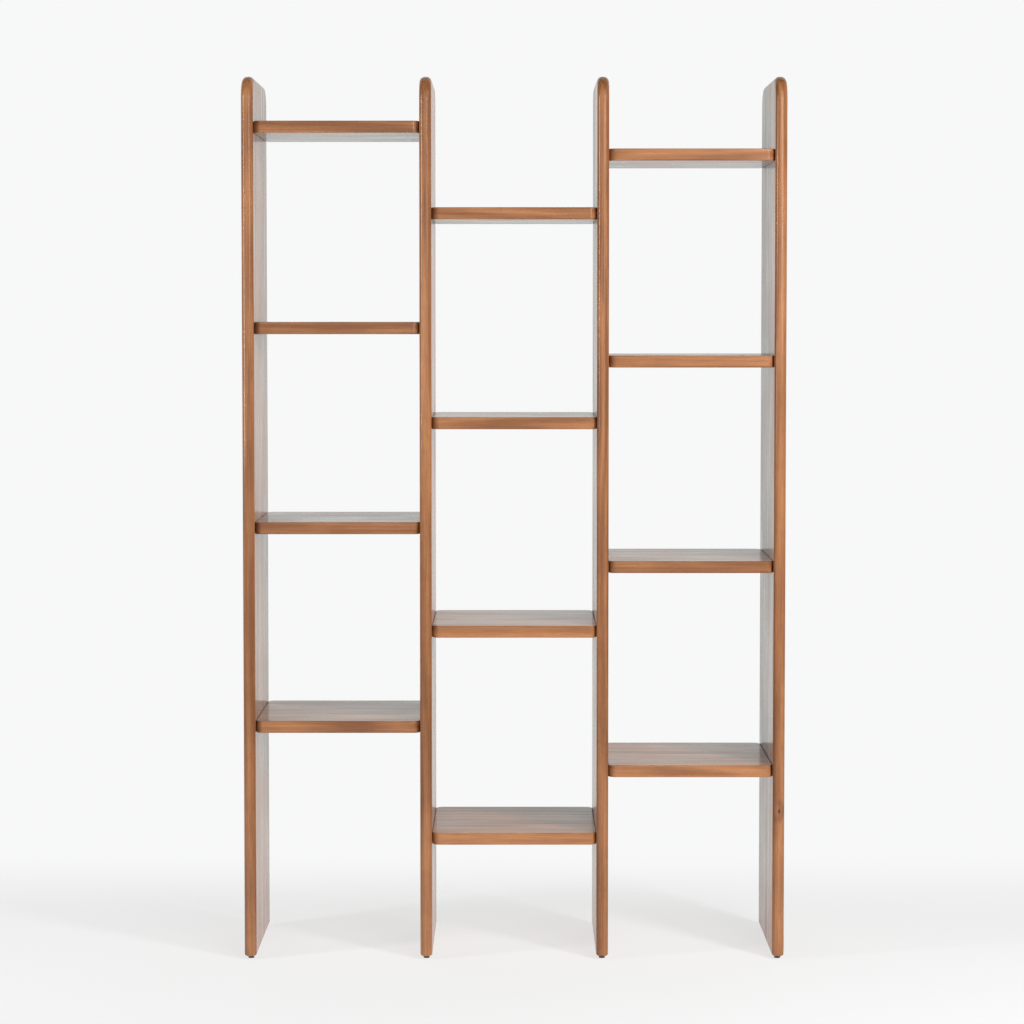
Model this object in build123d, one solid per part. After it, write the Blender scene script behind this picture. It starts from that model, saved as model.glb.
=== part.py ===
from build123d import *
import os

# A free-standing open bookcase: four tall boards stand side by side, and three bays of
# four shelves each hang between them, every bay at its own heights.
# Millimetres. +X to the right, +Y to the back, +Z up. The origin is on the floor, in the
# middle of the footprint.

# Outer size
OVERALL_WIDTH = 1219.0
BOARD_DEPTH = 356.0
BOARD_HEIGHT = 1981.0
FOOT_HEIGHT = 7.5
THICKNESS = 27.0
BAYS = ("left", "centre", "right")
UPRIGHTS = ("left_outer", "left_inner", "right_inner", "right_outer")

# Rounding of the boards
BOARD_TOP_RADIUS = 50.0
BOARD_EDGE_RADIUS = 12.0
BOARD_FOOT_EDGE_RADIUS = 5.0

# Shelves
SHELF_DEPTH = 335.0
SHELF_CORNER_RADIUS = 16.0
SHELF_EDGE_RADIUS = 2.0
SHELVES_PER_BAY = 4
LOWEST_SHELF_TOP = {"left": 541.0, "centre": 287.0, "right": 440.5}
SHELF_SPACING = {"left": 449.0, "centre": 469.5, "right": 461.9}

# Joinery in each shelf end: dowels outside, connector bolts and cams inside
DOWEL_Y = 132.0
DOWEL_RADIUS = 3.95
DOWEL_IN_BOARD = 12.0
DOWEL_IN_SHELF = 18.0
DOWEL_CHAMFER = 1.0
BOLT_Y = 100.0
BOLT_THREAD_RADIUS = 3.0
BOLT_THREAD_LENGTH = 11.0
BOLT_COLLAR_RADIUS = 3.9
BOLT_COLLAR_LENGTH = 2.0
BOLT_SHANK_RADIUS = 3.4
BOLT_SHANK_LENGTH = 26.0
BOLT_NECK_RADIUS = 2.0
BOLT_NECK_LENGTH = 5.0
BOLT_HEAD_RADIUS = 3.2
BOLT_HEAD_LENGTH = 3.0
CAM_FROM_END = 34.0
CAM_RADIUS = 7.5
CAM_HEIGHT = 18.5
CAM_DRIVE_LENGTH = 6.0
CAM_DRIVE_WIDTH = 1.4
CAM_DRIVE_DEPTH = 2.5

# Levelling feet, two under each board
FOOT_FROM_EDGE = 26.0
PAD_HEIGHT = 4.0
PAD_BASE_RADIUS = 7.0
PAD_TOP_RADIUS = 5.5
PAD_RIM_HEIGHT = 1.5
PAD_SOCKET_FLOOR = 1.5
COLLAR_HEIGHT = 3.0
COLLAR_ACROSS_FLATS = 9.0
COLLAR_CHAMFER = 0.5
STUD_RADIUS = 3.0
STUD_ABOVE_COLLAR = 25.0
STUD_TIP_CHAMFER = 0.8
INSERT_RADIUS = 4.9
INSERT_LENGTH = 13.0

# Clearances
FIT = 0.05
SHANK_ROOM = 0.6
BORE_END_ROOM = 1.0

BAY_WIDTH = (OVERALL_WIDTH - len(UPRIGHTS) * THICKNESS) / len(BAYS)
PITCH = BAY_WIDTH + THICKNESS
BOLT_TIP = BOLT_COLLAR_LENGTH + BOLT_SHANK_LENGTH + BOLT_NECK_LENGTH + BOLT_HEAD_LENGTH
ON_BASE = (Align.CENTER, Align.CENTER, Align.MIN)


def upright_x(index):
    return (index - (len(UPRIGHTS) - 1) / 2) * PITCH


def bay_x(bay):
    return (BAYS.index(bay) - (len(BAYS) - 1) / 2) * PITCH


def shelf_tops(bay):
    return [LOWEST_SHELF_TOP[bay] + level * SHELF_SPACING[bay] for level in range(SHELVES_PER_BAY)]


def rod(radius, length, chamfer_size=0.0):
    """A round bar that stands on the origin and points up +Z."""
    bar = Cylinder(radius, length, align=ON_BASE)
    if chamfer_size:
        bar = chamfer(bar.edges().filter_by(GeomType.CIRCLE), chamfer_size)
    return bar


def pointing(direction):
    """Turns something that points up +Z so that it points along X in the given direction."""
    return Rot(0, 90 * direction, 0)


def joint_places(bay):
    """Where each shelf end meets its board: x of the board's face, height, inward direction."""
    for end in (-1, 1):
        face_x = bay_x(bay) + end * BAY_WIDTH / 2
        for top in shelf_tops(bay):
            yield face_x, top - THICKNESS / 2, -end


# Boards


def board_blank():
    """The tall board: round upper corners in side view, and a generous round on its edges."""
    side = Plane.YZ * Pos(0, FOOT_HEIGHT + BOARD_HEIGHT / 2) * Rectangle(BOARD_DEPTH, BOARD_HEIGHT)
    side = fillet(side.vertices().group_by(Axis.Z)[-1], BOARD_TOP_RADIUS)
    board = extrude(side, THICKNESS / 2, dir=(1, 0, 0), both=True)
    rim = board.faces().filter_by(Axis.X).edges()
    lower_end = rim.sort_by(Axis.Z)[0].center().Z
    board = fillet(rim.filter_by(lambda edge: edge.center().Z > lower_end), BOARD_EDGE_RADIUS)
    return fillet(board.faces().sort_by(Axis.Z)[0].edges(), BOARD_FOOT_EDGE_RADIUS)


def board_bores(bay):
    """Holes that a bay's dowels and connector bolts need in the two boards beside it."""
    bores = []
    for face_x, height, inward in joint_places(bay):
        for side in (-1, 1):
            dowel_hole = rod(DOWEL_RADIUS + FIT, DOWEL_IN_BOARD + BORE_END_ROOM)
            bolt_hole = rod(BOLT_THREAD_RADIUS + FIT, BOLT_THREAD_LENGTH + BORE_END_ROOM)
            bores.append(Pos(face_x, side * DOWEL_Y, height) * pointing(-inward) * dowel_hole)
            bores.append(Pos(face_x, side * BOLT_Y, height) * pointing(-inward) * bolt_hole)
    return bores


def foot_bores(x):
    """Holes under a board for its two inserts, with room above them for the studs."""
    bores = []
    for side in (-1, 1):
        y = side * (BOARD_DEPTH / 2 - FOOT_FROM_EDGE)
        bores.append(Pos(x, y, FOOT_HEIGHT) * rod(INSERT_RADIUS + FIT, INSERT_LENGTH))
        stud_room = rod(STUD_RADIUS + SHANK_ROOM, STUD_ABOVE_COLLAR + BORE_END_ROOM)
        bores.append(Pos(x, y, FOOT_HEIGHT) * stud_room)
    return bores


def upright(index):
    x = upright_x(index)
    bores = foot_bores(x)
    if index > 0:
        bores += [bore for bore in board_bores(BAYS[index - 1]) if bore.center().X > bay_x(BAYS[index - 1])]
    if index < len(BAYS):
        bores += [bore for bore in board_bores(BAYS[index]) if bore.center().X < bay_x(BAYS[index])]
    return Pos(x, 0, 0) * board_blank() - bores


# Shelves


def shelf(bay, top):
    """A shelf with round corners in plan, bored at both ends and from below."""
    plan = RectangleRounded(BAY_WIDTH, SHELF_DEPTH, SHELF_CORNER_RADIUS)
    slab = extrude(plan, THICKNESS)
    faces = slab.faces().filter_by(Axis.Z)
    slab = fillet(faces.edges(), SHELF_EDGE_RADIUS)
    cuts = []
    for end in (-1, 1):
        for side in (-1, 1):
            dowel_hole = rod(DOWEL_RADIUS + FIT, DOWEL_IN_SHELF + BORE_END_ROOM)
            bolt_hole = rod(BOLT_COLLAR_RADIUS + FIT, CAM_FROM_END)
            cam_hole = rod(CAM_RADIUS + FIT, CAM_HEIGHT + BORE_END_ROOM)
            end_x = end * BAY_WIDTH / 2
            cuts.append(Pos(end_x, side * DOWEL_Y, THICKNESS / 2) * pointing(-end) * dowel_hole)
            cuts.append(Pos(end_x, side * BOLT_Y, THICKNESS / 2) * pointing(-end) * bolt_hole)
            cuts.append(Pos(end_x - end * CAM_FROM_END, side * BOLT_Y, 0) * cam_hole)
    return Pos(bay_x(bay), 0, top - THICKNESS) * (slab - cuts)


# Fasteners


def dowel():
    """A beech dowel along +Z, with the board's face at the origin."""
    return Pos(0, 0, -DOWEL_IN_BOARD) * rod(DOWEL_RADIUS, DOWEL_IN_BOARD + DOWEL_IN_SHELF, DOWEL_CHAMFER)


def connector_bolt():
    """A cam connector bolt along +Z: thread below the board's face, round head at the far end."""
    bolt = Pos(0, 0, -BOLT_THREAD_LENGTH) * rod(BOLT_THREAD_RADIUS, BOLT_THREAD_LENGTH)
    height = 0.0
    for radius, length in (
        (BOLT_COLLAR_RADIUS, BOLT_COLLAR_LENGTH),
        (BOLT_SHANK_RADIUS, BOLT_SHANK_LENGTH),
        (BOLT_NECK_RADIUS, BOLT_NECK_LENGTH),
        (BOLT_HEAD_RADIUS, BOLT_HEAD_LENGTH),
    ):
        bolt += Pos(0, 0, height) * rod(radius, length)
        height += length
    return bolt


def cam():
    """A cam housing along +Z: open towards -X for the bolt, with a cross drive underneath."""
    mouth_start = BOLT_TIP - CAM_FROM_END + SHANK_ROOM
    mouth = pointing(-1) * rod(BOLT_HEAD_RADIUS + SHANK_ROOM, 2 * CAM_RADIUS)
    mouth = Pos(mouth_start, 0, THICKNESS / 2) * mouth
    drive = Box(CAM_DRIVE_LENGTH, CAM_DRIVE_WIDTH, CAM_DRIVE_DEPTH, align=ON_BASE)
    return rod(CAM_RADIUS, CAM_HEIGHT) - [mouth, drive, Rot(0, 0, 90) * drive]


def bay_fasteners(bay, piece, y, from_face=0.0, below=0.0, turned=True):
    """Copies of one fastener at both ends of every shelf in a bay, front and back."""
    copies = []
    for face_x, height, inward in joint_places(bay):
        for side in (-1, 1):
            place = Pos(face_x + inward * from_face, side * y, height - below)
            facing = pointing(inward) if turned else Rot(0, 0, 0 if inward > 0 else 180)
            copies.append(place * facing * piece)
    return Compound(children=copies)


# Levelling feet


def foot_places():
    """Every foot's name, x and y."""
    for index, upright_name in enumerate(UPRIGHTS):
        for end_name, side in (("front", -1), ("back", 1)):
            y = side * (BOARD_DEPTH / 2 - FOOT_FROM_EDGE)
            yield f"{upright_name}_{end_name}", upright_x(index), y


def foot_insert():
    """The steel sleeve that is fixed in the board and takes the stud."""
    return rod(INSERT_RADIUS, INSERT_LENGTH) - rod(STUD_RADIUS + FIT, INSERT_LENGTH)


def foot_pad():
    """The nylon pad on the floor, with a blind socket that the stud's lower end turns in."""
    rim = rod(PAD_BASE_RADIUS, PAD_RIM_HEIGHT)
    cone_height = PAD_HEIGHT - PAD_RIM_HEIGHT
    cone = Pos(0, 0, PAD_RIM_HEIGHT) * Cone(PAD_BASE_RADIUS, PAD_TOP_RADIUS, cone_height, align=ON_BASE)
    socket = Pos(0, 0, PAD_SOCKET_FLOOR) * rod(STUD_RADIUS + FIT, PAD_HEIGHT)
    return rim + cone - socket


def foot_stud():
    """The threaded stud with the hexagonal collar that a spanner turns."""
    stud_top = PAD_HEIGHT + COLLAR_HEIGHT + STUD_ABOVE_COLLAR
    hexagon = RegularPolygon(COLLAR_ACROSS_FLATS / 2, 6, major_radius=False)
    collar = chamfer(extrude(hexagon, COLLAR_HEIGHT).faces().filter_by(Axis.Z).edges(), COLLAR_CHAMFER)
    shaft = Pos(0, 0, PAD_SOCKET_FLOOR) * rod(STUD_RADIUS, stud_top - PAD_SOCKET_FLOOR, STUD_TIP_CHAMFER)
    return Pos(0, 0, PAD_HEIGHT) * collar + shaft


def main():
    os.makedirs("parts", exist_ok=True)

    for index, name in enumerate(UPRIGHTS):
        export_step(upright(index), f"parts/{name}_upright.step")

    for bay in BAYS:
        for level, top in enumerate(shelf_tops(bay), start=1):
            export_step(shelf(bay, top), f"parts/{bay}_shelf_{level}.step")
        below_axis = THICKNESS / 2
        export_step(bay_fasteners(bay, dowel(), DOWEL_Y), f"parts/{bay}_bay_dowels.step")
        export_step(bay_fasteners(bay, connector_bolt(), BOLT_Y), f"parts/{bay}_bay_cam_bolts.step")
        cams = bay_fasteners(bay, cam(), BOLT_Y, CAM_FROM_END, below_axis, turned=False)
        export_step(cams, f"parts/{bay}_bay_cams.step")

    inserts = []
    for name, x, y in foot_places():
        inserts.append(Pos(x, y, FOOT_HEIGHT) * foot_insert())
        export_step(Pos(x, y, 0) * foot_pad(), f"parts/{name}_foot_pad.step")
        export_step(Pos(x, y, 0) * foot_stud(), f"parts/{name}_foot_stud.step")
    export_step(Compound(children=inserts), "parts/foot_inserts.step")


main()
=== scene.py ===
import math

import bmesh
import bpy
from bpy.props import FloatProperty, FloatVectorProperty, IntProperty, PointerProperty
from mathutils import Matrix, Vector


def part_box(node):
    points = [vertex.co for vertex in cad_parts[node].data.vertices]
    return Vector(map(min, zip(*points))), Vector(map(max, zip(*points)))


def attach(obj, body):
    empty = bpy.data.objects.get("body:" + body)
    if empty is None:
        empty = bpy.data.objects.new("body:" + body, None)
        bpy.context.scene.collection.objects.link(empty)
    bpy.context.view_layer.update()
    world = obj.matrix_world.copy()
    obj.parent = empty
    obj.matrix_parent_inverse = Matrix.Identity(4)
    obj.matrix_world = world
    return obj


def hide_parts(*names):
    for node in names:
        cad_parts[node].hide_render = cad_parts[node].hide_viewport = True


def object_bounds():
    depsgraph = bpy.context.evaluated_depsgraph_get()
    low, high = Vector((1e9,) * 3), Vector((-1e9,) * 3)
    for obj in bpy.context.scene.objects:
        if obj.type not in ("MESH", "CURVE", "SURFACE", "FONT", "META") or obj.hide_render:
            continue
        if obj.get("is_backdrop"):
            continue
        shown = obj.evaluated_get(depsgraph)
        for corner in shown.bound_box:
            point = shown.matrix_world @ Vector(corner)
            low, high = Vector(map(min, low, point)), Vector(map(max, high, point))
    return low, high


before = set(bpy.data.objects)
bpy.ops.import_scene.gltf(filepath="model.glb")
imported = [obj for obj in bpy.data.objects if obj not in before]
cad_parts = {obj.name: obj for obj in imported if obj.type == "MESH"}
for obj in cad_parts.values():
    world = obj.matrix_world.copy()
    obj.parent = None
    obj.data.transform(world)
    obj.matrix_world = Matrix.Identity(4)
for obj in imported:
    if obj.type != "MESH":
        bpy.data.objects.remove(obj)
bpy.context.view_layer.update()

bl_info = {
    "name": "Staggered ladder bookcase",
    "version": (1, 0, 0),
    "blender": (4, 5, 0),
    "location": "3D View > Sidebar > Bookcase",
    "description": "Finishes a tall open bookcase of four rounded boards and twelve shelves",
    "category": "Add Mesh",
}

BODY = "bookcase"
BAYS = ("left", "centre", "right")
UPRIGHTS = tuple(n for n in sorted(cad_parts) if n.endswith("_upright"))
SHELVES = tuple(n for n in sorted(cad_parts) if "_shelf_" in n)
PADS = tuple(n for n in sorted(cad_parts) if n.endswith("_foot_pad"))
STUDS = tuple(n for n in sorted(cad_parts) if n.endswith("_foot_stud"))

BOARD_NUMBER = "board_number"
# The attribute below carries each board's tone together with painted shade.
BOARD_TONE_AND_SHADE = "board_tone_and_shade"
ROUNDED = "rounded_edge"

# How much darker (or, below zero, paler) than the rest each board is drawn. Part of it is the wood's
# own tone from board to board, and part is painted shade: the left-hand shelves are drawn darker on the
# whole, standing in for weaker light falling on that side.
TONE_AND_PAINTED_SHADE = {
    "left_outer_upright": 0.10, "left_inner_upright": -0.35,
    "right_inner_upright": -0.15, "right_outer_upright": 0.10,
    "left_shelf_1": -0.05, "left_shelf_2": 0.35, "left_shelf_3": 0.12, "left_shelf_4": 0.50,
    "centre_shelf_1": -0.05, "centre_shelf_2": -0.28, "centre_shelf_3": -0.20, "centre_shelf_4": 0.40,
    "right_shelf_1": -0.32, "right_shelf_2": 0.18, "right_shelf_3": 0.05, "right_shelf_4": 0.15,
}

# Bores: the gap round a fitting, how far a bore runs past it, and the narrower bore above for a stud.
BORE_GAP = 0.00005
BORE_BELOW = 0.001
BORE_ABOVE = 0.0005
STUD_BORE_RISE = 0.013
STUD_BORE_SHARE = 0.74
BORE_FACETS = 40

# When two places count as one, when a fitting counts as touching a board, and when a face is flat.
SAME_PLACE = 1e-5
TOUCHING = 1e-4
FLAT_FACE = 0.999

# How strongly each mark in the wood shows.
RING_WEIGHT = 0.52
STREAK_WEIGHT = 0.55
CLOUD_CHANGE = 0.18
STAVE_CHANGE = 0.32
PORE_DARKNESS = 0.45
JOINT_DARKNESS = 0.38
KNOT_DARKNESS = 0.92
SWIRL_DARKNESS = 0.22
RUB_DARKNESS = 0.22

# Finishes of the small pieces.
BEECH_PALE = (0.60, 0.40, 0.24)
BEECH_DARK = (0.48, 0.29, 0.16)
ZINC = (0.62, 0.61, 0.59)
BLACKENED_STEEL = (0.11, 0.105, 0.10)
NYLON_DARK = (0.070, 0.054, 0.043)
NYLON_SCUFFED = (0.110, 0.086, 0.070)
WORN_PATCH = 0.72

# The floor, and where it fades: between two distances from the middle, and between two behind it.
FLOOR_RADIUS = 6.0
FADE_ROUND = (1.4, 3.2)
FADE_BEHIND = (0.15, 1.1)
FLOOR_PAINT = (0.27, 0.275, 0.275)
WHITE = (1.0, 1.0, 1.0)

# The room, by direction: the range over which its backdrop, its front and its ground fade.
BACKDROP_REACH = (0.35, 0.80)
FRONT_REACH = (-0.97, -0.70)
GROUND_REACH = (-0.35, 0.02)
GROUND_LEVEL = 0.75

# The back of the camera.
SENSOR_WIDTH = 36.0
FRAME_SHIFT = (-0.0013, -0.065)

# Lights: bearing from the front in degrees, distance, height, size, and share of the softboxes' power.
SOFTBOXES = (
    ("Left softbox", -66.0, 3.2, 1.85, (0.4, 1.8), 1.0),
    ("Right softbox", 42.0, 3.2, 1.85, (0.5, 1.8), 1.7),
    ("Pale screen", 22.0, 4.2, 2.0, (1.2, 1.3), 0.64),
)
UNMIRRORED = ("Right softbox",)  # the glossy shelves don't mirror it, or it would bleach their tops
FRONT_LIGHT = ("Front light", 34.0, 4.3, 3.7, (4.0, 2.4))
AIM_ABOVE_MIDDLE = 0.3


# Settings


class BoardSettings(bpy.types.PropertyGroup):
    """Rounding of the four tall boards."""

    top_radius: FloatProperty(
        name="Top corner", description="Radius of a board's upper corners, seen from the side",
        default=0.050, min=0.0, subtype="DISTANCE", unit="LENGTH",
    )
    edge_radius: FloatProperty(
        name="Edge", description="Radius along a board's long edges and over its top",
        default=0.012, min=0.0, subtype="DISTANCE", unit="LENGTH",
    )
    foot_radius: FloatProperty(
        name="Foot edge", description="Radius round a board's lower end",
        default=0.005, min=0.0, subtype="DISTANCE", unit="LENGTH",
    )
    top_steps: IntProperty(
        name="Corner steps", description="Flat steps in an upper corner", default=20, min=1,
    )
    edge_steps: IntProperty(
        name="Edge steps", description="Flat steps in a rounded edge", default=10, min=1,
    )


class ShelfSettings(bpy.types.PropertyGroup):
    """Rounding of the twelve shelves."""

    corner_radius: FloatProperty(
        name="Corner", description="Radius of a shelf's corners, seen from above",
        default=0.016, min=0.0, subtype="DISTANCE", unit="LENGTH",
    )
    edge_radius: FloatProperty(
        name="Edge", description="Radius of a shelf's upper and lower edges",
        default=0.002, min=0.0, subtype="DISTANCE", unit="LENGTH",
    )
    corner_steps: IntProperty(
        name="Corner steps", description="Flat steps in a corner", default=12, min=1,
    )
    edge_steps: IntProperty(
        name="Edge steps", description="Flat steps in an upper or lower edge", default=4, min=1,
    )


class WoodSettings(bpy.types.PropertyGroup):
    """The stained and varnished wood."""

    early_wood: FloatVectorProperty(
        name="Early wood", description="Colour between the growth rings",
        subtype="COLOR", size=3, min=0.0, max=1.0, default=(0.425, 0.180, 0.072),
    )
    late_wood: FloatVectorProperty(
        name="Late wood", description="Colour of the growth rings",
        subtype="COLOR", size=3, min=0.0, max=1.0, default=(0.212, 0.080, 0.030),
    )
    knot: FloatVectorProperty(
        name="Knot", description="Colour of knots, pores and glue lines",
        subtype="COLOR", size=3, min=0.0, max=1.0, default=(0.050, 0.020, 0.009),
    )
    stave_width: FloatProperty(
        name="Stave", description="Width of the staves that a board is glued from",
        default=0.062, min=0.01, subtype="DISTANCE", unit="LENGTH",
    )
    varnish: FloatProperty(
        name="Varnish", description="How much of the surface the varnish covers",
        default=1.0, min=0.0, max=1.0, subtype="FACTOR",
    )
    varnish_roughness: FloatProperty(
        name="Varnish roughness", description="Softness of the varnish's reflections",
        default=0.15, min=0.0, max=1.0, subtype="FACTOR",
    )


class StudioSettings(bpy.types.PropertyGroup):
    """The floor, the lights and the camera."""

    backdrop: FloatVectorProperty(
        name="Backdrop", description="Colour behind the bookcase",
        subtype="COLOR", size=3, min=0.0, max=1.0, default=(0.935, 0.938, 0.938),
    )
    bounce: FloatVectorProperty(
        name="Bounce", description="Colour of the light that the backdrop sends back",
        subtype="COLOR", size=3, min=0.0, max=1.0, default=(0.890, 0.930, 0.915),
    )
    side_level: FloatProperty(
        name="Side walls", description="Brightness of the dark walls beside the bookcase",
        default=0.035, min=0.0,
    )
    front_level: FloatProperty(
        name="Room in front", description="Brightness of the room behind the camera",
        default=0.75, min=0.0,
    )
    softbox_power: FloatProperty(
        name="Softboxes", description="Power of the left softbox, which the others follow, in watts",
        default=46.0, min=0.0, unit="POWER",
    )
    front_power: FloatProperty(
        name="Front light", description="Power of the broad light above the camera, in watts",
        default=44.0, min=0.0, unit="POWER",
    )
    floor_glow: FloatProperty(
        name="Floor glow", description="Light that the floor gives by itself, so its shadows stay pale",
        default=0.675, min=0.0,
    )
    lens: FloatProperty(
        name="Lens", description="Focal length, in millimetres", default=97.1, min=1.0,
    )
    camera_place: FloatVectorProperty(
        name="Camera", description="Where the camera stands",
        subtype="TRANSLATION", unit="LENGTH", size=3, default=(-0.002, -6.353, 1.457),
    )
    camera_tilt: FloatProperty(
        name="Tilt", description="How far the camera looks down",
        default=math.radians(2.723), subtype="ANGLE", unit="ROTATION",
    )


# Shader building blocks


class Tree:
    """A short way to add and join nodes in one node tree."""

    def __init__(self, tree):
        self.tree = tree
        self.column = 0

    def add(self, kind, inputs=None, **settings):
        node = self.tree.nodes.new(kind)
        self.column += 1
        node.location = (self.column % 8 * 190, -(self.column // 8) * 260)
        for key, value in settings.items():
            setattr(node, key, value)
        for key, value in (inputs or {}).items():
            if isinstance(value, bpy.types.NodeSocket):
                self.tree.links.new(value, node.inputs[key])
            else:
                node.inputs[key].default_value = value
        return node

    def math(self, operation, a, b=0.0, c=0.0, clamp=False):
        node = self.add("ShaderNodeMath", {0: a, 1: b, 2: c}, operation=operation, use_clamp=clamp)
        return node.outputs[0]

    def vector(self, operation, a, b=(0.0, 0.0, 0.0)):
        node = self.add("ShaderNodeVectorMath", {0: a, 1: b}, operation=operation)
        return node.outputs["Vector"]

    def noise(self, vector, scale, detail=2.0, roughness=0.5):
        inputs = {"Vector": vector, "Scale": scale, "Detail": detail, "Roughness": roughness}
        return self.add("ShaderNodeTexNoise", inputs).outputs["Fac"]

    def ramp(self, value, low, high, to_low=0.0, to_high=1.0):
        inputs = {0: value, 1: low, 2: high, 3: to_low, 4: to_high}
        return self.add("ShaderNodeMapRange", inputs, interpolation_type="SMOOTHSTEP").outputs[0]

    def mix(self, factor, a, b, blend="MIX"):
        node = self.add("ShaderNodeMix", data_type="RGBA", blend_type=blend)
        for key, value in ((0, factor), (6, a), (7, b)):
            if isinstance(value, bpy.types.NodeSocket):
                self.tree.links.new(value, node.inputs[key])
            else:
                node.inputs[key].default_value = value
        return node.outputs[2]


def effect(name, inputs, outputs, build):
    """A shader node group with named sockets. build turns the tree and its inputs into the outputs."""
    if name in bpy.data.node_groups:
        return bpy.data.node_groups[name]
    group = bpy.data.node_groups.new(name, "ShaderNodeTree")
    for label, (kind, default) in inputs.items():
        socket = group.interface.new_socket(label, in_out="INPUT", socket_type="NodeSocket" + kind)
        if default is not None:
            socket.default_value = default
    for label, kind in outputs.items():
        group.interface.new_socket(label, in_out="OUTPUT", socket_type="NodeSocket" + kind)
    tree = Tree(group)
    given = tree.add("NodeGroupInput")
    results = build(tree, given.outputs)
    end = tree.add("NodeGroupOutput")
    for label, socket in results.items():
        group.links.new(socket, end.inputs[label])
    return group


def use(tree, group, **inputs):
    """Places a node group in a material and gives it values, by socket name with _ for a space."""
    node = tree.add("ShaderNodeGroup", node_tree=group)
    for key, value in inputs.items():
        socket = node.inputs[key.replace("_", " ")]
        if isinstance(value, bpy.types.NodeSocket):
            tree.tree.links.new(value, socket)
        else:
            socket.default_value = value
    return node.outputs


def split(tree, vector):
    """The three parts of a vector."""
    parts = tree.add("ShaderNodeSeparateXYZ", {0: vector}).outputs
    return parts[0], parts[1], parts[2]


def glued_staves():
    """Splits a board across its width into staves, each with its own cut of wood and tone."""

    def build(t, given):
        _, across, _ = split(t, given["Vector"])
        place = t.math("ADD", t.math("DIVIDE", across, given["Width"]), given["Board"])
        index = t.math("FLOOR", place)
        inside = t.math("FRACT", place)
        seed = t.add("ShaderNodeCombineXYZ", {0: index, 1: given["Board"]}).outputs[0]
        chance = t.add("ShaderNodeTexWhiteNoise", {"Vector": seed}, noise_dimensions="2D").outputs
        shift = t.vector("MULTIPLY", chance["Color"], (3.0, 0.5, 0.5))
        to_joint = t.math("MINIMUM", inside, t.math("SUBTRACT", 1.0, inside))
        width = t.math("MULTIPLY", to_joint, given["Width"])
        return {
            "Vector": t.vector("ADD", given["Vector"], shift),
            "Tone": chance["Value"],
            "Joint": t.ramp(width, 0.0002, 0.0009, 1.0, 0.0),
        }

    return effect(
        "Glued staves",
        {"Vector": ("Vector", None), "Width": ("Float", 0.06), "Board": ("Float", 0.0)},
        {"Vector": "Vector", "Tone": "Float", "Joint": "Float"},
        build,
    )


def small_knots():
    """A few small knots, and the swirl that they leave in the grain beside them."""

    def build(t, given):
        stretched = t.vector("MULTIPLY", given["Vector"], (0.55, 1.0, 1.0))
        cells = t.add(
            "ShaderNodeTexVoronoi", {"Vector": stretched, "Scale": given["Density"], "Randomness": 1.0}
        ).outputs
        pick, spread, _ = split(t, cells["Color"])
        present = t.math("GREATER_THAN", pick, given["Rarity"])
        size = t.math("MULTIPLY", given["Size"], t.ramp(spread, 0.0, 1.0, 0.5, 1.3))
        away = t.math("DIVIDE", cells["Distance"], given["Density"])
        ratio = t.math("DIVIDE", away, size)
        core = t.math("MULTIPLY", t.ramp(ratio, 0.55, 1.0, 1.0, 0.0), present)
        halo = t.math("MULTIPLY", t.ramp(ratio, 0.8, 4.0, 1.0, 0.0), present)
        return {"Knot": core, "Swirl": halo}

    return effect(
        "Small knots",
        {
            "Vector": ("Vector", None), "Density": ("Float", 7.0),
            "Rarity": ("Float", 0.85), "Size": ("Float", 0.004),
        },
        {"Knot": "Float", "Swirl": "Float"},
        build,
    )


def long_grain():
    """Growth rings, fibres and open pores that run along X."""

    def build(t, given):
        bend = t.noise(t.vector("MULTIPLY", given["Vector"], (1.1, 5.0, 5.0)), 1.0, 2.0)
        rings_at = t.vector("MULTIPLY", given["Vector"], (0.55, 10.0, 10.0))
        field = t.noise(rings_at, 1.0, 1.5, 0.45)
        field = t.math("MULTIPLY_ADD", bend, 0.35, field)
        field = t.math("MULTIPLY_ADD", given["Swirl"], 0.07, field)
        count = t.math("MULTIPLY", field, given["Rings"])
        wave = t.math("PINGPONG", count, 0.5)
        rings = t.ramp(wave, 0.02, 0.46)
        fibres = t.noise(t.vector("MULTIPLY", given["Vector"], (14.0, 700.0, 700.0)), 1.0, 3.0, 0.65)
        streaks = t.noise(t.vector("MULTIPLY", given["Vector"], (2.2, 120.0, 120.0)), 1.0, 3.0, 0.6)
        pores = t.noise(t.vector("MULTIPLY", given["Vector"], (75.0, 1500.0, 1500.0)), 1.0, 1.0, 0.5)
        return {
            "Rings": rings,
            "Fibres": fibres,
            "Streaks": streaks,
            "Pores": t.ramp(pores, 0.66, 0.74),
        }

    return effect(
        "Long grain",
        {"Vector": ("Vector", None), "Swirl": ("Float", 0.0), "Rings": ("Float", 9.0)},
        {"Rings": "Float", "Fibres": "Float", "Streaks": "Float", "Pores": "Float"},
        build,
    )


def handling():
    """Slow changes of sheen, and stain that has rubbed thin or gathered along rounded edges."""

    def build(t, given):
        cloud = t.noise(given["Vector"], 5.0, 3.0, 0.55)
        patch = t.noise(given["Vector"], 38.0, 2.0, 0.6)
        rub = t.math("MULTIPLY", t.ramp(patch, 0.48, 0.72), given["Edge"])
        return {"Sheen": cloud, "Rub": rub}

    return effect(
        "Handling",
        {"Vector": ("Vector", None), "Edge": ("Float", 0.0)},
        {"Sheen": "Float", "Rub": "Float"},
        build,
    )


def moulded_grain():
    """The fine spark-eroded grain of moulded plastic and the faint brushing of plated steel."""

    def build(t, given):
        fine = t.noise(given["Vector"], given["Scale"], 2.0, 0.6)
        broad = t.noise(given["Vector"], 60.0, 2.0, 0.5)
        return {"Fine": fine, "Broad": broad}

    return effect(
        "Moulded grain",
        {"Vector": ("Vector", None), "Scale": ("Float", 2500.0)},
        {"Fine": "Float", "Broad": "Float"},
        build,
    )


# Materials


def colour(values):
    """A colour with full alpha, as a shader socket takes it."""
    return (*values, 1.0)


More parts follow.
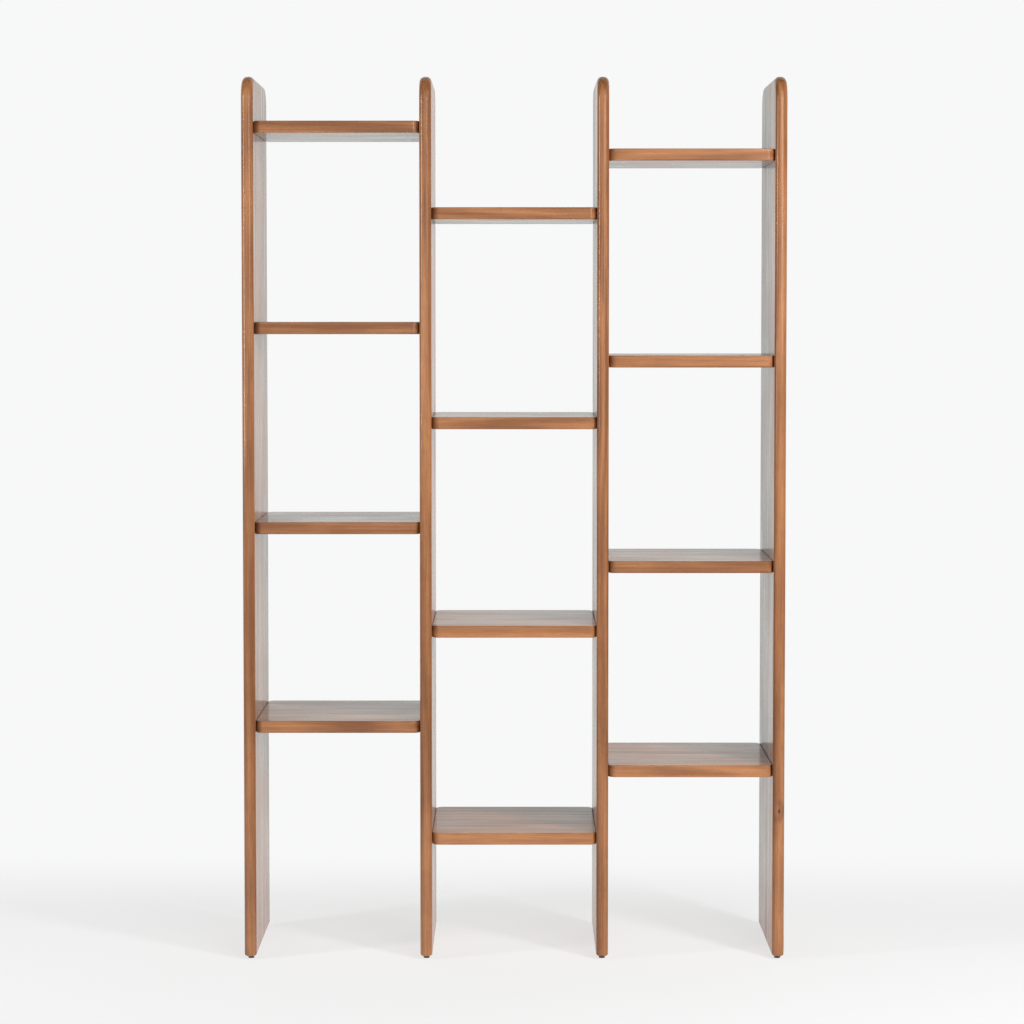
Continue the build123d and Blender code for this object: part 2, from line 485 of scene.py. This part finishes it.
def new_material(name):
    """An empty material with one Principled shader, and a Tree to add to it."""
    material = bpy.data.materials.new(name)
    material.use_nodes = True
    material.node_tree.nodes.clear()
    tree = Tree(material.node_tree)
    shader = tree.add("ShaderNodeBsdfPrincipled")
    out = tree.add("ShaderNodeOutputMaterial")
    material.node_tree.links.new(shader.outputs[0], out.inputs["Surface"])
    return material, tree, shader


def board_wood(name, turned, wood):
    """Stained wood whose grain runs along X, or along Z where it is turned."""
    material, t, shader = new_material(name)
    link = material.node_tree.links.new
    place = t.add("ShaderNodeTexCoord").outputs["Object"]
    turn = (0.0, math.radians(90.0) if turned else 0.0, 0.0)
    place = t.add("ShaderNodeMapping", {"Vector": place, "Rotation": turn}).outputs[0]
    number = t.add("ShaderNodeAttribute", attribute_name=BOARD_NUMBER).outputs["Fac"]
    # Each board's listed darkening: partly its own tone, partly painted shade for weaker light on the
    # left.
    shading = t.add("ShaderNodeAttribute", attribute_name=BOARD_TONE_AND_SHADE).outputs["Fac"]
    edge = t.add("ShaderNodeAttribute", attribute_name=ROUNDED).outputs["Fac"]

    stave = use(t, glued_staves(), Vector=place, Width=wood.stave_width, Board=number)
    knots = use(t, small_knots(), Vector=stave["Vector"], Density=11.0, Rarity=0.55, Size=0.0036)
    grain = use(t, long_grain(), Vector=stave["Vector"], Swirl=knots["Swirl"], Rings=8.0)
    worn = use(t, handling(), Vector=place, Edge=edge)

    late = t.math("MULTIPLY", grain["Rings"], RING_WEIGHT)
    late = t.math("MULTIPLY_ADD", t.ramp(grain["Streaks"], 0.28, 0.72), STREAK_WEIGHT, late)
    late = t.math("ADD", late, t.ramp(worn["Sheen"], 0.3, 0.7, -CLOUD_CHANGE, CLOUD_CHANGE))
    # Painted shade: the listed darkening is added to the growth-ring colour, darker on the left-hand
    # shelves.
    late = t.math("ADD", late, shading)
    by_stave = t.ramp(stave["Tone"], 0.0, 1.0, -STAVE_CHANGE, STAVE_CHANGE)
    late = t.math("ADD", late, by_stave, clamp=True)
    shade = t.mix(late, colour(wood.early_wood), colour(wood.late_wood))
    fibre = t.ramp(grain["Fibres"], 0.25, 0.75, 0.80, 1.16)
    fibre = t.add("ShaderNodeCombineColor", {0: fibre, 1: fibre, 2: fibre}).outputs[0]
    shade = t.mix(1.0, shade, fibre, "MULTIPLY")
    dark = t.math("MULTIPLY", grain["Pores"], PORE_DARKNESS)
    dark = t.math("MAXIMUM", dark, t.math("MULTIPLY", stave["Joint"], JOINT_DARKNESS))
    dark = t.math("MAXIMUM", dark, t.math("MULTIPLY", knots["Knot"], KNOT_DARKNESS))
    dark = t.math("MAXIMUM", dark, t.math("MULTIPLY", knots["Swirl"], SWIRL_DARKNESS))
    shade = t.mix(dark, shade, colour(wood.knot))
    rubbed = t.math("MULTIPLY", worn["Rub"], RUB_DARKNESS)
    shade = t.mix(rubbed, shade, colour(wood.late_wood))
    link(shade, shader.inputs["Base Color"])

    rough = t.ramp(grain["Fibres"], 0.2, 0.8, 0.42, 0.58)
    rough = t.math("MULTIPLY_ADD", worn["Sheen"], 0.12, rough)
    link(rough, shader.inputs["Roughness"])
    cover = t.ramp(grain["Streaks"], 0.38, 0.64, 1.0, 0.62)
    cover = t.math("MULTIPLY", cover, t.ramp(worn["Sheen"], 0.35, 0.65, 0.74, 0.92))
    link(t.math("MULTIPLY", cover, wood.varnish), shader.inputs["Coat Weight"])
    shader.inputs["Coat Roughness"].default_value = wood.varnish_roughness
    shader.inputs["Coat IOR"].default_value = 1.42
    shader.inputs["Specular IOR Level"].default_value = 0.25

    height = t.math("MULTIPLY_ADD", grain["Pores"], -0.9, t.math("MULTIPLY", grain["Fibres"], 0.5))
    height = t.math("MULTIPLY_ADD", grain["Rings"], 0.35, height)
    height = t.math("MULTIPLY_ADD", stave["Joint"], -0.8, height)
    bump = t.add("ShaderNodeBump", {"Height": height, "Strength": 0.35, "Distance": 0.00012})
    link(bump.outputs[0], shader.inputs["Normal"])
    return material


def raw_beech():
    """Pale unvarnished beech for the dowels."""
    material, t, shader = new_material("Raw beech")
    place = t.add("ShaderNodeTexCoord").outputs["Object"]
    grain = use(t, long_grain(), Vector=place, Rings=14.0)
    shade = t.mix(grain["Rings"], colour(BEECH_PALE), colour(BEECH_DARK))
    material.node_tree.links.new(shade, shader.inputs["Base Color"])
    rough = t.ramp(grain["Fibres"], 0.2, 0.8, 0.62, 0.82)
    material.node_tree.links.new(rough, shader.inputs["Roughness"])
    return material


def plated_steel(name, tint, dull):
    """Zinc-plated steel, bright or blackened, with faint brushing and dulled patches."""
    material, t, shader = new_material(name)
    place = t.add("ShaderNodeTexCoord").outputs["Object"]
    grain = use(t, moulded_grain(), Vector=place, Scale=900.0)
    darker = tuple(WORN_PATCH * part for part in tint)
    shade = t.mix(t.ramp(grain["Broad"], 0.35, 0.7), colour(tint), colour(darker))
    material.node_tree.links.new(shade, shader.inputs["Base Color"])
    rough = t.ramp(grain["Fine"], 0.2, 0.8, dull - 0.06, dull + 0.10)
    material.node_tree.links.new(rough, shader.inputs["Roughness"])
    bump = t.add("ShaderNodeBump", {"Height": grain["Fine"], "Strength": 0.25, "Distance": 0.00004})
    material.node_tree.links.new(bump.outputs[0], shader.inputs["Normal"])
    shader.inputs["Metallic"].default_value = 1.0
    return material


def black_nylon():
    """Matt moulded nylon for the pads, a little scuffed."""
    material, t, shader = new_material("Black nylon")
    place = t.add("ShaderNodeTexCoord").outputs["Object"]
    grain = use(t, moulded_grain(), Vector=place, Scale=2600.0)
    shade = t.mix(t.ramp(grain["Broad"], 0.4, 0.75), colour(NYLON_DARK), colour(NYLON_SCUFFED))
    material.node_tree.links.new(shade, shader.inputs["Base Color"])
    rough = t.ramp(grain["Fine"], 0.2, 0.8, 0.50, 0.68)
    material.node_tree.links.new(rough, shader.inputs["Roughness"])
    bump = t.add("ShaderNodeBump", {"Height": grain["Fine"], "Strength": 0.4, "Distance": 0.00006})
    material.node_tree.links.new(bump.outputs[0], shader.inputs["Normal"])
    return material


def set_material(piece, material):
    """Gives a piece one material and no other."""
    piece.data.materials.clear()
    piece.data.materials.append(material)


# Mesh work


def block(low, high):
    """A plain block between two corners, as a bmesh."""
    bm = bmesh.new()
    bmesh.ops.create_cube(bm, size=1.0)
    bmesh.ops.scale(bm, vec=high - low, verts=bm.verts)
    bmesh.ops.translate(bm, vec=(low + high) / 2, verts=bm.verts)
    return bm


def round_off(bm, edges, radius, steps):
    """Rounds the given edges."""
    bmesh.ops.bevel(
        bm, geom=edges, offset=radius, offset_type="OFFSET", segments=steps,
        profile=0.5, affect="EDGES", clamp_overlap=False, material=-1,
    )


def edges_where(bm, test):
    """Every edge whose two ends both pass the test."""
    return [edge for edge in bm.edges if all(test(vert.co) for vert in edge.verts)]


def near(a, b):
    """Whether two coordinates are the same."""
    return abs(a - b) < SAME_PLACE


def bored(piece, holes):
    """Cuts round holes into a piece. A hole is its centre, its radius and its lowest and highest z."""
    cutter_mesh = bmesh.new()
    for x, y, radius, bottom, top in holes:
        made = bmesh.ops.create_cone(
            cutter_mesh, cap_ends=True, segments=BORE_FACETS,
            radius1=radius, radius2=radius, depth=top - bottom,
        )
        bmesh.ops.translate(cutter_mesh, vec=(x, y, (bottom + top) / 2), verts=made["verts"])
    cutter = new_piece("cutter", cutter_mesh)
    cut = piece.modifiers.new("Bores", "BOOLEAN")
    cut.object = cutter
    cut.solver = "EXACT"
    depsgraph = bpy.context.evaluated_depsgraph_get()
    made = bpy.data.meshes.new_from_object(piece.evaluated_get(depsgraph))
    piece.modifiers.clear()
    piece.data = made
    bpy.data.objects.remove(cutter)


def new_piece(name, bm):
    """Turns a bmesh into an object of that name."""
    mesh = bpy.data.meshes.new(name)
    bm.to_mesh(mesh)
    bm.free()
    piece = bpy.data.objects.new(name, mesh)
    bpy.context.collection.objects.link(piece)
    return piece


def finish_board(piece, node, number, material):
    """Shading, the attributes that the wood reads, its material and its place on the bookcase's body,
    for one wooden board, whose CAD node is then hidden.
    """
    mesh = piece.data
    for face in mesh.polygons:
        face.use_smooth = True
    # The tone written here is partly painted shade, darker on the left-hand shelves.
    for name, value in ((BOARD_NUMBER, number), (BOARD_TONE_AND_SHADE, TONE_AND_PAINTED_SHADE[node])):
        values = mesh.attributes.new(name, "FLOAT", "POINT")
        values.data.foreach_set("value", [value] * len(mesh.vertices))
    rounded = mesh.attributes.new(ROUNDED, "FLOAT", "FACE")
    flat = [max(abs(part) for part in face.normal) > FLAT_FACE for face in mesh.polygons]
    rounded.data.foreach_set("value", [0.0 if level else 1.0 for level in flat])
    even = piece.modifiers.new("Even shading", "WEIGHTED_NORMAL")
    even.keep_sharp = True
    set_material(piece, material)
    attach(piece, BODY)
    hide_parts(node)


def holes_for(low, high, fittings):
    """Bores for those fittings of a node group that lie inside a box."""
    holes = []
    for x0, y0, z0, x1, y1, z1 in fittings:
        x, y = (x0 + x1) / 2, (y0 + y1) / 2
        if low.x < x < high.x and low.y < y < high.y and low.z - TOUCHING < z0 < high.z:
            holes.append((x, y, (y1 - y0) / 2 + BORE_GAP, z0 - BORE_BELOW, z1 + BORE_ABOVE))
    return holes


def loose_parts(node):
    """The box of every separate solid in a CAD node."""
    bm = bmesh.new()
    bm.from_mesh(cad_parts[node].data)
    bmesh.ops.remove_doubles(bm, verts=bm.verts, dist=1e-6)
    unseen = set(bm.verts)
    boxes = []
    while unseen:
        queue = [unseen.pop()]
        members = []
        while queue:
            vert = queue.pop()
            members.append(vert.co.copy())
            for edge in vert.link_edges:
                other = edge.other_vert(vert)
                if other in unseen:
                    unseen.remove(other)
                    queue.append(other)
        low = [min(co[axis] for co in members) for axis in range(3)]
        high = [max(co[axis] for co in members) for axis in range(3)]
        boxes.append((*low, *high))
    bm.free()
    return boxes


# Operators


class BOOKCASE_OT_uprights(bpy.types.Operator):
    """Make the four tall boards with their rounded tops and edges"""

    bl_idname = "bookcase.uprights"
    bl_label = "Tall boards"

    def execute(self, context):
        shape, wood = context.scene.bookcase_boards, context.scene.bookcase_wood
        material = board_wood("Stained wood, upright grain", True, wood)
        inserts = loose_parts("foot_inserts")
        if len(UPRIGHTS) != len(BAYS) + 1:
            raise RuntimeError("the frame has no tall board at each side of every bay")
        for number, node in enumerate(UPRIGHTS):
            low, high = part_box(node)
            bm = block(low, high)
            top_edges = edges_where(bm, lambda co: near(co.z, high.z))
            corners = [edge for edge in top_edges if near(edge.verts[0].co.y, edge.verts[1].co.y)]
            round_off(bm, corners, shape.top_radius, shape.top_steps)
            rim = [
                edge for side in (low.x, high.x)
                for edge in edges_where(bm, lambda co: near(co.x, side))
                if max(vert.co.z for vert in edge.verts) > low.z + shape.foot_radius
            ]
            round_off(bm, rim, shape.edge_radius, shape.edge_steps)
            lower_end = edges_where(bm, lambda co: near(co.z, low.z))
            round_off(bm, lower_end, shape.foot_radius, shape.edge_steps // 2)
            board = new_piece(f"{node}_wood", bm)
            holes = holes_for(low, high, inserts)
            for_studs = [
                (x, y, radius * STUD_BORE_SHARE, top - BORE_BELOW, top + STUD_BORE_RISE)
                for x, y, radius, _, top in holes
            ]
            bored(board, holes + for_studs)
            finish_board(board, node, float(number), material)
        return {"FINISHED"}


class BOOKCASE_OT_shelves(bpy.types.Operator):
    """Make the twelve shelves with their rounded corners"""

    bl_idname = "bookcase.shelves"
    bl_label = "Shelves"

    def execute(self, context):
        shape, wood = context.scene.bookcase_shelves, context.scene.bookcase_wood
        material = board_wood("Stained wood, level grain", False, wood)
        cams = {bay: loose_parts(f"{bay}_bay_cams") for bay in BAYS}
        if not SHELVES:
            raise RuntimeError("the frame has no shelves")
        for number, node in enumerate(SHELVES):
            low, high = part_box(node)
            bm = block(low, high)
            corners = [edge for edge in bm.edges if not near(edge.verts[0].co.z, edge.verts[1].co.z)]
            round_off(bm, corners, shape.corner_radius, shape.corner_steps)
            for level in (low.z, high.z):
                rim = edges_where(bm, lambda co: near(co.z, level))
                round_off(bm, rim, shape.edge_radius, shape.edge_steps)
            shelf = new_piece(f"{node}_wood", bm)
            bored(shelf, holes_for(low, high, cams[node.split("_")[0]]))
            finish_board(shelf, node, float(number + len(UPRIGHTS)), material)
        return {"FINISHED"}


class BOOKCASE_OT_fittings(bpy.types.Operator):
    """Give the dowels, connector bolts, cams and inserts their finishes"""

    bl_idname = "bookcase.fittings"
    bl_label = "Dowels and fittings"

    def execute(self, context):
        beech = raw_beech()
        zinc = plated_steel("Bright zinc", ZINC, 0.34)
        for bay in BAYS:
            set_material(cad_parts[f"{bay}_bay_dowels"], beech)
            set_material(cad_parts[f"{bay}_bay_cam_bolts"], zinc)
            set_material(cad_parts[f"{bay}_bay_cams"], zinc)
        set_material(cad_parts["foot_inserts"], zinc)
        return {"FINISHED"}


class BOOKCASE_OT_feet(bpy.types.Operator):
    """Give the eight levelling feet their finishes"""

    bl_idname = "bookcase.feet"
    bl_label = "Levelling feet"

    def execute(self, context):
        nylon = black_nylon()
        blackened = plated_steel("Blackened steel", BLACKENED_STEEL, 0.42)
        if len(PADS) != len(STUDS):
            raise RuntimeError("a levelling foot lacks its pad or its stud")
        for pad, stud in zip(PADS, STUDS):
            set_material(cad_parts[pad], nylon)
            set_material(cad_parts[stud], blackened)
        return {"FINISHED"}


class BOOKCASE_OT_studio(bpy.types.Operator):
    """Set up the pale floor, the soft lights and the camera"""

    bl_idname = "bookcase.studio"
    bl_label = "Studio"

    def execute(self, context):
        studio = context.scene.bookcase_studio
        make_floor(studio)
        make_world(studio)
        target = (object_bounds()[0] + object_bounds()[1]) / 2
        for *place, share in SOFTBOXES:
            softbox(target, *place, studio.softbox_power * share)
        softbox(target, *FRONT_LIGHT, studio.front_power)
        make_camera(studio)
        context.scene.view_settings.view_transform = "Standard"
        context.scene.view_settings.look = "None"
        return {"FINISHED"}


def make_floor(studio):
    """A round pale floor that fades into the backdrop a few metres out."""
    bm = bmesh.new()
    bmesh.ops.create_circle(bm, cap_ends=True, segments=96, radius=FLOOR_RADIUS)
    floor = new_piece("studio_floor", bm)
    material = bpy.data.materials.new("Pale floor")
    material.use_nodes = True
    material.node_tree.nodes.clear()
    t = Tree(material.node_tree)
    place = t.add("ShaderNodeTexCoord").outputs["Object"]
    away = t.add("ShaderNodeVectorMath", {0: place}, operation="LENGTH").outputs["Value"]
    paint = t.add("ShaderNodeBsdfDiffuse", {"Color": colour(FLOOR_PAINT)})
    glow = t.add("ShaderNodeEmission", {"Color": colour(WHITE), "Strength": studio.floor_glow})
    lit = t.add("ShaderNodeAddShader", {0: paint.outputs[0], 1: glow.outputs[0]})
    clear = t.add("ShaderNodeBsdfTransparent")
    _, ahead, _ = split(t, place)
    fade = t.math("MAXIMUM", t.ramp(away, *FADE_ROUND), t.ramp(ahead, *FADE_BEHIND))
    mixed = t.add("ShaderNodeMixShader", {0: fade, 1: lit.outputs[0], 2: clear.outputs[0]})
    out = t.add("ShaderNodeOutputMaterial")
    material.node_tree.links.new(mixed.outputs[0], out.inputs["Surface"])
    set_material(floor, material)
    floor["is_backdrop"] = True


def make_world(studio):
    """A bright backdrop behind, dark walls beside, and a plain pale surround to look at."""
    world = bpy.data.worlds.new("Studio")
    bpy.context.scene.world = world
    world.use_nodes = True
    world.node_tree.nodes.clear()
    t = Tree(world.node_tree)
    direction = t.add("ShaderNodeTexCoord").outputs["Generated"]
    _, ahead, up = split(t, direction)
    bright = t.ramp(ahead, *BACKDROP_REACH)
    bright = t.math("MAXIMUM", bright, t.ramp(ahead, *FRONT_REACH, studio.front_level, 0.0))
    bright = t.math("MAXIMUM", bright, t.ramp(up, *GROUND_REACH, GROUND_LEVEL, 0.0))
    walls = colour([studio.side_level] * 3)
    room = t.mix(bright, walls, colour(studio.bounce))
    seen = t.add("ShaderNodeBackground", {"Color": colour(studio.backdrop)})
    lights = t.add("ShaderNodeBackground", {"Color": room})
    to_camera = t.add("ShaderNodeLightPath").outputs["Is Camera Ray"]
    mixed = t.add("ShaderNodeMixShader", {0: to_camera, 1: lights.outputs[0], 2: seen.outputs[0]})
    out = t.add("ShaderNodeOutputWorld")
    world.node_tree.links.new(mixed.outputs[0], out.inputs["Surface"])


def softbox(target, name, bearing, distance, height, size, power):
    """A rectangular area light, at a bearing from the front of the bookcase, that faces its middle."""
    lamp = bpy.data.lights.new(name, "AREA")
    lamp.shape = "RECTANGLE"
    lamp.size, lamp.size_y = size
    lamp.energy = power
    light = bpy.data.objects.new(name, lamp)
    angle = math.radians(bearing)
    light.location = (distance * math.sin(angle), -distance * math.cos(angle), height)
    level_target = Vector((target.x, target.y, min(height, target.z + AIM_ABOVE_MIDDLE)))
    light.rotation_euler = (level_target - light.location).to_track_quat("-Z", "Y").to_euler()
    light.visible_camera = False
    light.visible_glossy = name not in UNMIRRORED
    bpy.context.collection.objects.link(light)


def make_camera(studio):
    """The camera stands before the bookcase, a little above its middle."""
    lens = bpy.data.cameras.new("Camera")
    lens.lens = studio.lens
    lens.sensor_width = SENSOR_WIDTH
    lens.shift_x, lens.shift_y = FRAME_SHIFT
    camera = bpy.data.objects.new("Camera", lens)
    camera.location = studio.camera_place
    camera.rotation_euler = (math.radians(90.0) - studio.camera_tilt, 0.0, 0.0)
    bpy.context.collection.objects.link(camera)
    bpy.context.scene.camera = camera


class BOOKCASE_PT_sidebar(bpy.types.Panel):
    """Buttons and settings for the bookcase."""

    bl_label = "Bookcase"
    bl_idname = "BOOKCASE_PT_sidebar"
    bl_space_type = "VIEW_3D"
    bl_region_type = "UI"
    bl_category = "Bookcase"

    def draw(self, context):
        for title, settings, operators in PARTS:
            box = self.layout.box()
            box.label(text=title)
            group = getattr(context.scene, settings)
            for key in group.__annotations__:
                box.prop(group, key)
            for operator in operators:
                box.operator(operator)


PARTS = (
    ("Tall boards", "bookcase_boards", ("bookcase.uprights",)),
    ("Shelves", "bookcase_shelves", ("bookcase.shelves",)),
    ("Wood and fittings", "bookcase_wood", ("bookcase.fittings", "bookcase.feet")),
    ("Studio", "bookcase_studio", ("bookcase.studio",)),
)

SETTINGS = {
    "bookcase_boards": BoardSettings,
    "bookcase_shelves": ShelfSettings,
    "bookcase_wood": WoodSettings,
    "bookcase_studio": StudioSettings,
}

CLASSES = (
    *SETTINGS.values(),
    BOOKCASE_OT_uprights,
    BOOKCASE_OT_shelves,
    BOOKCASE_OT_fittings,
    BOOKCASE_OT_feet,
    BOOKCASE_OT_studio,
    BOOKCASE_PT_sidebar,
)


def register():
    for cls in CLASSES:
        bpy.utils.register_class(cls)
    for key, cls in SETTINGS.items():
        setattr(bpy.types.Scene, key, PointerProperty(type=cls))


def unregister():
    for key in SETTINGS:
        delattr(bpy.types.Scene, key)
    for cls in reversed(CLASSES):
        bpy.utils.unregister_class(cls)


def main():
    register()
    bpy.ops.bookcase.uprights()
    bpy.ops.bookcase.shelves()
    bpy.ops.bookcase.fittings()
    bpy.ops.bookcase.feet()
    bpy.ops.bookcase.studio()


if __name__ == "__main__":
    main()
